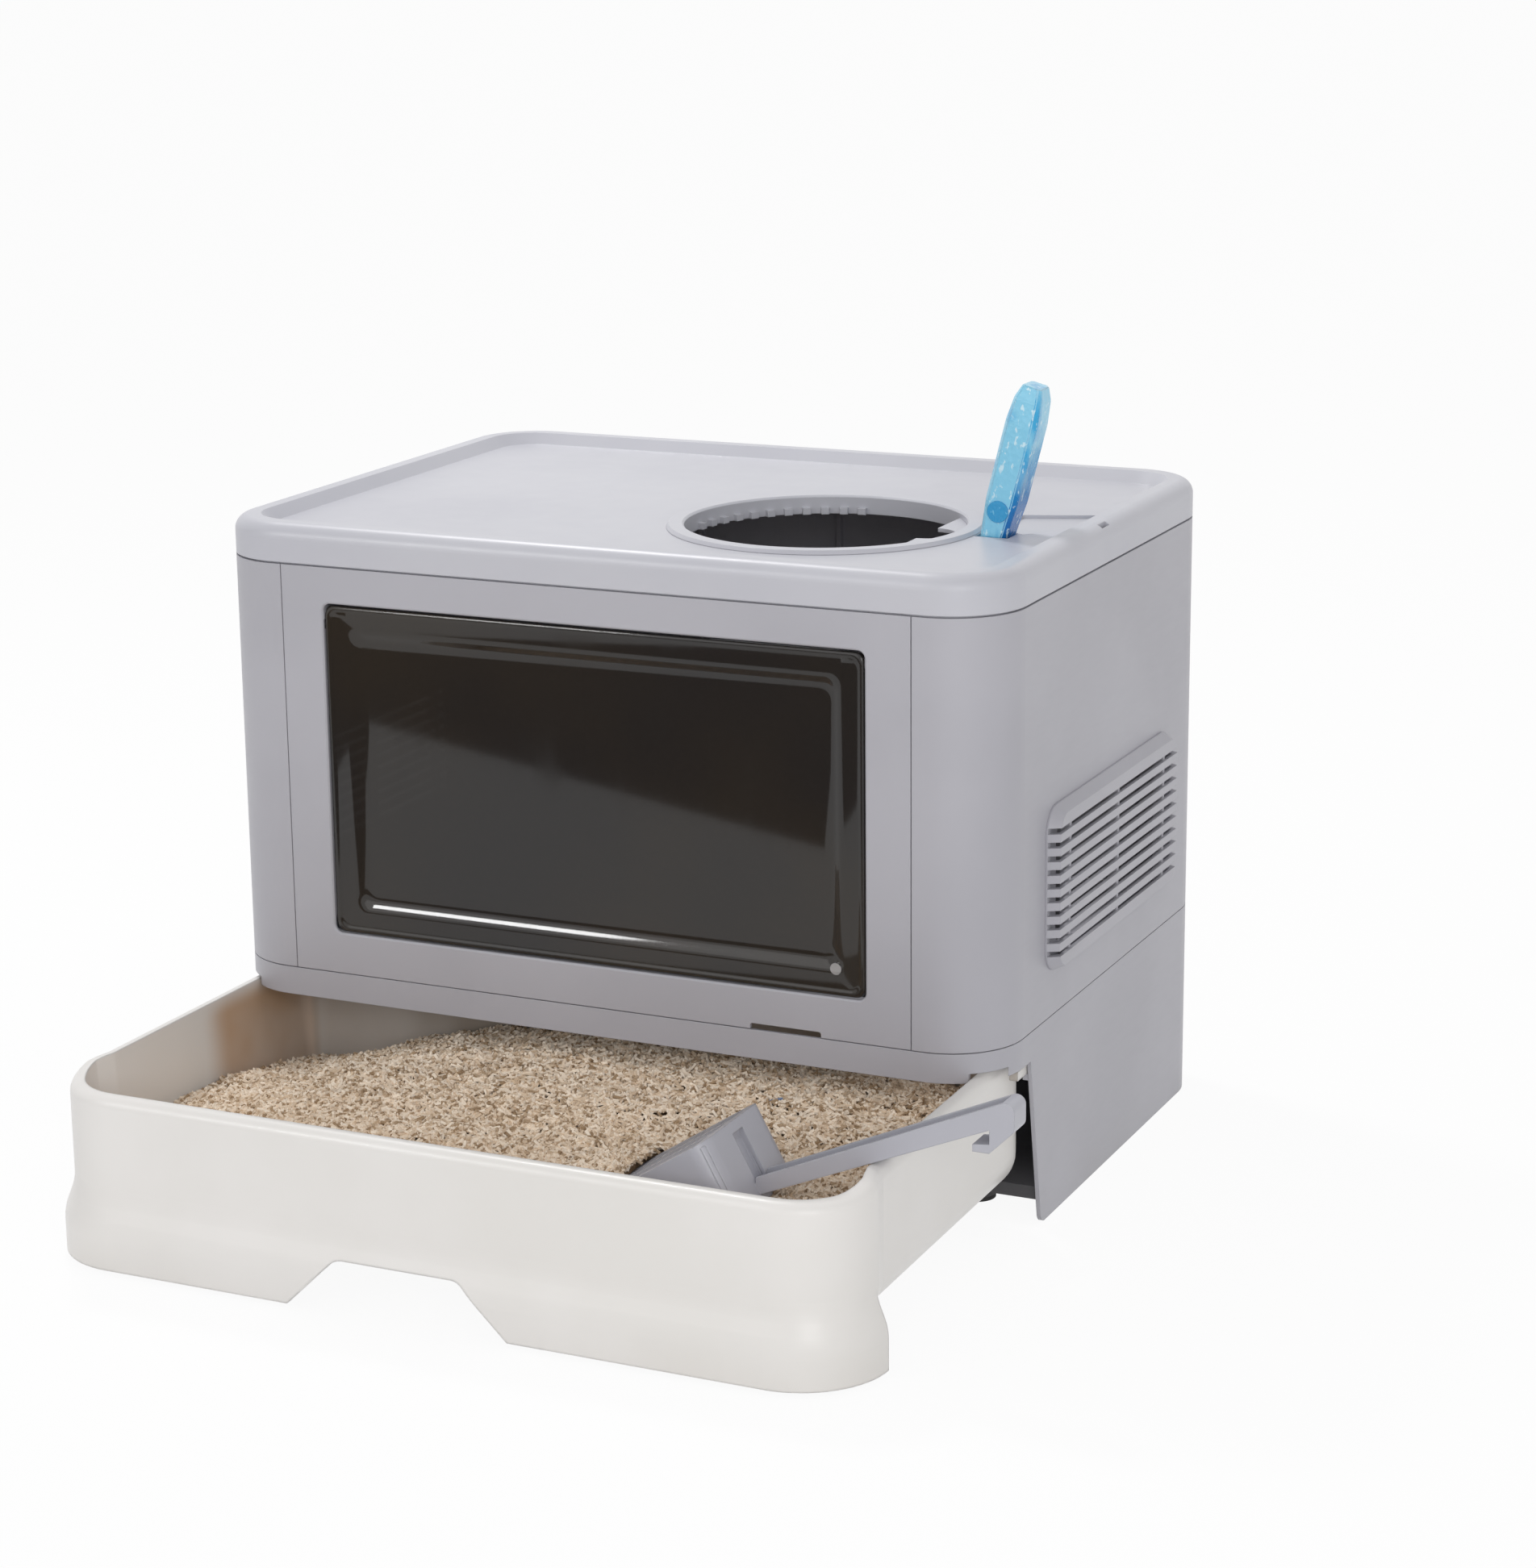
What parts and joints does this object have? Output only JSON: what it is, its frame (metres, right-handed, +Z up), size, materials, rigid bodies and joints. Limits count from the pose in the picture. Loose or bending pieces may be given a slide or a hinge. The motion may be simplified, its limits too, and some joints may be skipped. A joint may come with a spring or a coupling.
{
  "type": "drawer litter box",
  "caption": "Top-entry litter box: rounded housing with window flap, side vents, sunk lid with entry ring, leaning deodoriser cartridge, pull-out litter drawer and slotted scoop.",
  "frame": {"origin": "middle of the housing's footprint, on the floor under the middle foot", "axes": "+Z up, +Y from the drawer's front towards the housing's back, +X to the right as seen from the front"},
  "size_m": [0.5845, 0.588, 0.4859],
  "materials": {
    "housing_plastic": "smooth, satin",
    "lid_plastic": "smooth, satin",
    "drawer_plastic": "smooth, satin",
    "floor_plastic": "fine grain",
    "window_plastic": "clear smoked",
    "cartridge_blue": "smooth",
    "cartridge_grille_blue": "smooth",
    "scoop_plastic": "smooth",
    "litter": "loose plant grains",
    "foot_rubber": "plain",
    "hinge_steel": "drawn"
  },
  "bodies": {
    "housing": {"base_frame": "housing_plastic", "base_floor": "floor_plastic", "anti_slip_feet": "foot_rubber", "left_shell": "housing_plastic", "right_shell": "housing_plastic", "front_panel": "housing_plastic", "back_panel": "housing_plastic", "left_vent_cover": "housing_plastic", "right_vent_cover": "housing_plastic", "left_lid_catch": "housing_plastic", "right_lid_catch": "housing_plastic", "flap_hinge_pins": "hinge_steel"},
    "drawer": {"litter_drawer": "drawer_plastic", "litter_bed": "litter"},
    "flap": {"window_flap": "window_plastic", "flap_magnet": "hinge_steel"},
    "top": {"lid": "lid_plastic", "entry_ring": "lid_plastic", "step_pad": "lid_plastic"},
    "cartridge": {"cartridge_case": "cartridge_blue", "cartridge_grille": "cartridge_grille_blue", "cartridge_plug": "cartridge_grille_blue"},
    "scoop_body": {"scoop": "scoop_plastic"}
  },
  "joints": [
    {"name": "drawer_slide", "type": "slide", "parent": "housing", "child": "drawer", "axis": [0, 1, 0], "range_m": [0, 0.206]},
    {"name": "flap_hinge", "type": "hinge", "parent": "housing", "child": "flap", "pos_m": [0, -0.1822, 0.349], "axis": [1, 0, 0], "range_deg": [-75, 75]},
    {"name": "lid_lift", "type": "slide", "parent": "housing", "child": "top", "axis": [0, 0, 1], "range_m": [0, 0.15]},
    {"name": "cartridge_pull", "type": "slide", "parent": "top", "child": "cartridge", "axis": [0.2504, 0, 0.9681], "range_m": [0, 0.06]},
    {"name": "scoop_lift", "type": "slide", "parent": "housing", "child": "scoop_body", "axis": [0, 0, 1], "range_m": [0, 0.5562]}
  ],
  "couplings": [
    {"joint": "scoop_lift", "follows": "drawer_slide", "ratio": 2.7}
  ]
}
